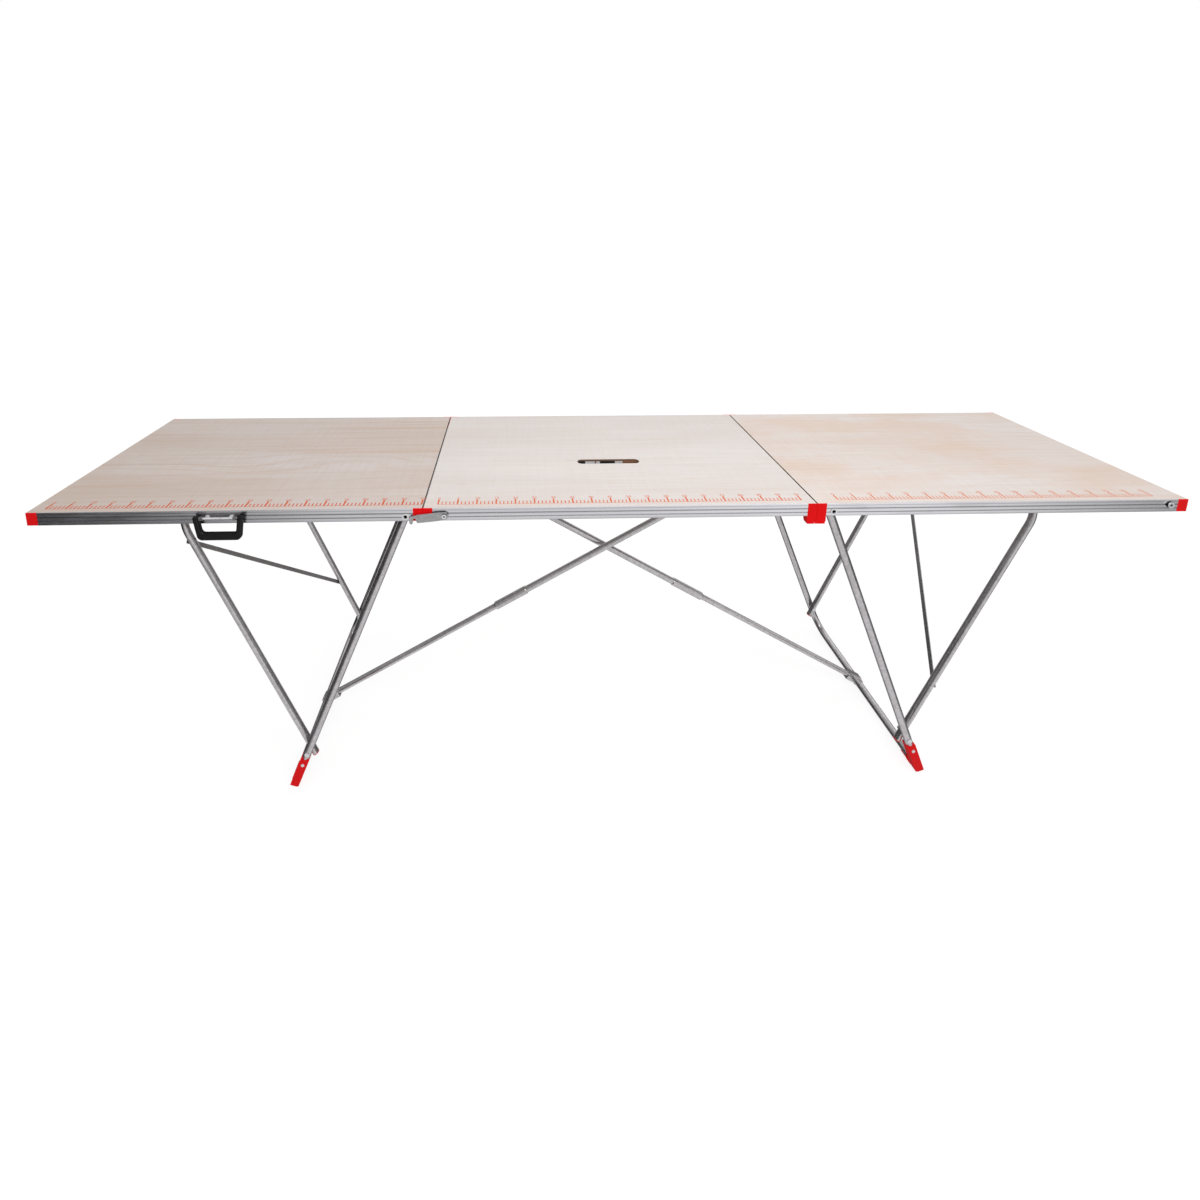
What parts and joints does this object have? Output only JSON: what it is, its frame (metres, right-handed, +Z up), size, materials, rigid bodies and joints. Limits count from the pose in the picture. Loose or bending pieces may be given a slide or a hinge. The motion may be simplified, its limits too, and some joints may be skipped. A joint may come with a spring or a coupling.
{
  "type": "folding pasting table",
  "caption": "Folding pasting table in hinged wooden panels with aluminium edge rails, red plastic corners, splayed tube legs, braces, crossed struts and a carrying handle.",
  "frame": {"origin": "on the floor under the middle of the table", "axes": "+X along the table's length to the right, +Y to the rear, +Z up"},
  "size_m": [3, 0.6175, 0.868],
  "materials": {
    "wood_left": "satin varnished plywood",
    "wood_middle": "satin varnished plywood",
    "wood_right": "satin varnished plywood",
    "wood_batten": "raw dark wood",
    "aluminium_rail": "satin extruded",
    "red_plastic": "moulded, semi-gloss",
    "galvanised_tube": "galvanised",
    "zinc_fastener": "zinc plated",
    "latch_grey": "grey, satin",
    "black_plastic": "moulded, matt"
  },
  "bodies": {
    "middle_panel": {"middle_board": "wood_middle", "middle_front_rail": "aluminium_rail", "middle_rear_rail": "aluminium_rail", "middle_cross_rails": "aluminium_rail", "slot_batten": "wood_batten", "slot_straps": "galvanised_tube", "slot_pads": "black_plastic", "middle_left_joint_caps": "red_plastic", "middle_right_joint_caps": "red_plastic", "hinge_pins": "zinc_fastener", "strut_brackets": "zinc_fastener", "strut_pins": "zinc_fastener", "latch_rivet": "zinc_fastener"},
    "left_panel": {"left_board": "wood_left", "left_front_rail": "aluminium_rail", "left_rear_rail": "aluminium_rail", "left_cross_rails": "aluminium_rail", "left_end_caps": "red_plastic", "left_joint_caps": "red_plastic", "left_leg_rivets": "zinc_fastener", "left_brace_tracks": "aluminium_rail", "handle_base": "zinc_fastener", "handle_rivets": "zinc_fastener"},
    "left_leg": {"left_leg_front_tube": "galvanised_tube", "left_leg_rear_tube": "galvanised_tube", "left_shoe": "red_plastic", "left_leg_bolts": "zinc_fastener"},
    "left_glides": {"left_brace_glides": "black_plastic"},
    "left_brace": {"left_brace_bow": "galvanised_tube", "left_brace_plugs": "red_plastic", "left_brace_stay": "galvanised_tube", "left_brace_rivets": "zinc_fastener"},
    "left_strut_upper": {"left_strut_upper_tube": "galvanised_tube", "left_strut_collar": "galvanised_tube"},
    "left_strut_lower": {"left_strut_lower_tube": "galvanised_tube", "left_strut_hook": "galvanised_tube"},
    "right_panel": {"right_board": "wood_right", "right_front_rail": "aluminium_rail", "right_rear_rail": "aluminium_rail", "right_cross_rails": "aluminium_rail", "right_end_caps": "red_plastic", "right_joint_caps": "red_plastic", "right_leg_rivets": "zinc_fastener", "right_brace_tracks": "aluminium_rail", "latch_stud": "zinc_fastener"},
    "right_leg": {"right_leg_front_tube": "galvanised_tube", "right_leg_rear_tube": "galvanised_tube", "right_shoe": "red_plastic", "right_leg_bolts": "zinc_fastener"},
    "right_glides": {"right_brace_glides": "black_plastic"},
    "right_brace": {"right_brace_bow": "galvanised_tube", "right_brace_plugs": "red_plastic", "right_brace_stay": "galvanised_tube", "right_brace_rivets": "zinc_fastener"},
    "right_strut_upper": {"right_strut_upper_tube": "galvanised_tube", "right_strut_collar": "galvanised_tube"},
    "right_strut_lower": {"right_strut_lower_tube": "galvanised_tube", "right_strut_hook": "galvanised_tube"},
    "latch": {"latch_lever": "latch_grey"},
    "handle": {"handle_grip": "black_plastic"}
  },
  "joints": [
    {"name": "left_wing_fold", "type": "hinge", "parent": "middle_panel", "child": "left_panel", "pos_m": [-0.51, 0, 0.834], "axis": [0, -1, 0], "range_deg": [0, 52]},
    {"name": "left_leg_fold", "type": "hinge", "parent": "left_panel", "child": "left_leg", "pos_m": [-0.554, 0, 0.846], "axis": [0, 1, 0], "range_deg": [0, 67.5]},
    {"name": "left_brace_glide", "type": "slide", "parent": "left_panel", "child": "left_glides", "axis": [1, 0, 0], "range_m": [0, 0.605]},
    {"name": "left_brace_fold", "type": "hinge", "parent": "left_glides", "child": "left_brace", "pos_m": [-1.17, 0, 0.846], "axis": [0, 1, 0], "range_deg": [0, 112.7]},
    {"name": "left_strut_swing", "type": "hinge", "parent": "middle_panel", "child": "left_strut_upper", "pos_m": [0.47, -0.014, 0.8273], "axis": [0, 1, 0], "range_deg": [0, 23.35]},
    {"name": "left_strut_slide", "type": "slide", "parent": "left_strut_upper", "child": "left_strut_lower", "axis": [0.8614, 0, 0.5079], "range_m": [0, 0.601]},
    {"name": "right_wing_fold", "type": "hinge", "parent": "middle_panel", "child": "right_panel", "pos_m": [0.51, 0, 0.817], "axis": [0, 1, 0], "range_deg": [0, 52]},
    {"name": "right_leg_fold", "type": "hinge", "parent": "right_panel", "child": "right_leg", "pos_m": [0.554, 0, 0.846], "axis": [0, -1, 0], "range_deg": [0, 67.5]},
    {"name": "right_brace_glide", "type": "slide", "parent": "right_panel", "child": "right_glides", "axis": [-1, 0, 0], "range_m": [0, 0.605]},
    {"name": "right_brace_fold", "type": "hinge", "parent": "right_glides", "child": "right_brace", "pos_m": [1.17, 0, 0.846], "axis": [0, -1, 0], "range_deg": [0, 112.7]},
    {"name": "right_strut_swing", "type": "hinge", "parent": "middle_panel", "child": "right_strut_upper", "pos_m": [-0.47, 0.014, 0.8273], "axis": [0, -1, 0], "range_deg": [0, 23.35]},
    {"name": "right_strut_slide", "type": "slide", "parent": "right_strut_upper", "child": "right_strut_lower", "axis": [-0.8614, 0, 0.5079], "range_m": [0, 0.601]},
    {"name": "latch_swing", "type": "hinge", "parent": "middle_panel", "child": "latch", "pos_m": [-0.455, -0.3045, 0.849], "axis": [0, -1, 0], "range_deg": [0, 90]},
    {"name": "handle_swing", "type": "hinge", "parent": "left_panel", "child": "handle", "pos_m": [-1.02, -0.309, 0.853], "axis": [-1, 0, 0], "range_deg": [0, 180]}
  ],
  "couplings": [
    {"joint": "left_leg_fold", "follows": "left_wing_fold", "ratio": 1.2967},
    {"joint": "left_brace_glide", "follows": "left_wing_fold", "m_per_rad": 0.66551},
    {"joint": "left_brace_fold", "follows": "left_wing_fold", "ratio": 2.1648},
    {"joint": "left_strut_swing", "follows": "left_wing_fold", "ratio": 0.44712},
    {"joint": "left_strut_slide", "follows": "left_wing_fold", "m_per_rad": 0.66111},
    {"joint": "right_leg_fold", "follows": "right_wing_fold", "ratio": 1.2967},
    {"joint": "right_brace_glide", "follows": "right_wing_fold", "m_per_rad": 0.66551},
    {"joint": "right_brace_fold", "follows": "right_wing_fold", "ratio": 2.1648},
    {"joint": "right_strut_swing", "follows": "right_wing_fold", "ratio": 0.44712},
    {"joint": "right_strut_slide", "follows": "right_wing_fold", "m_per_rad": 0.66111}
  ]
}
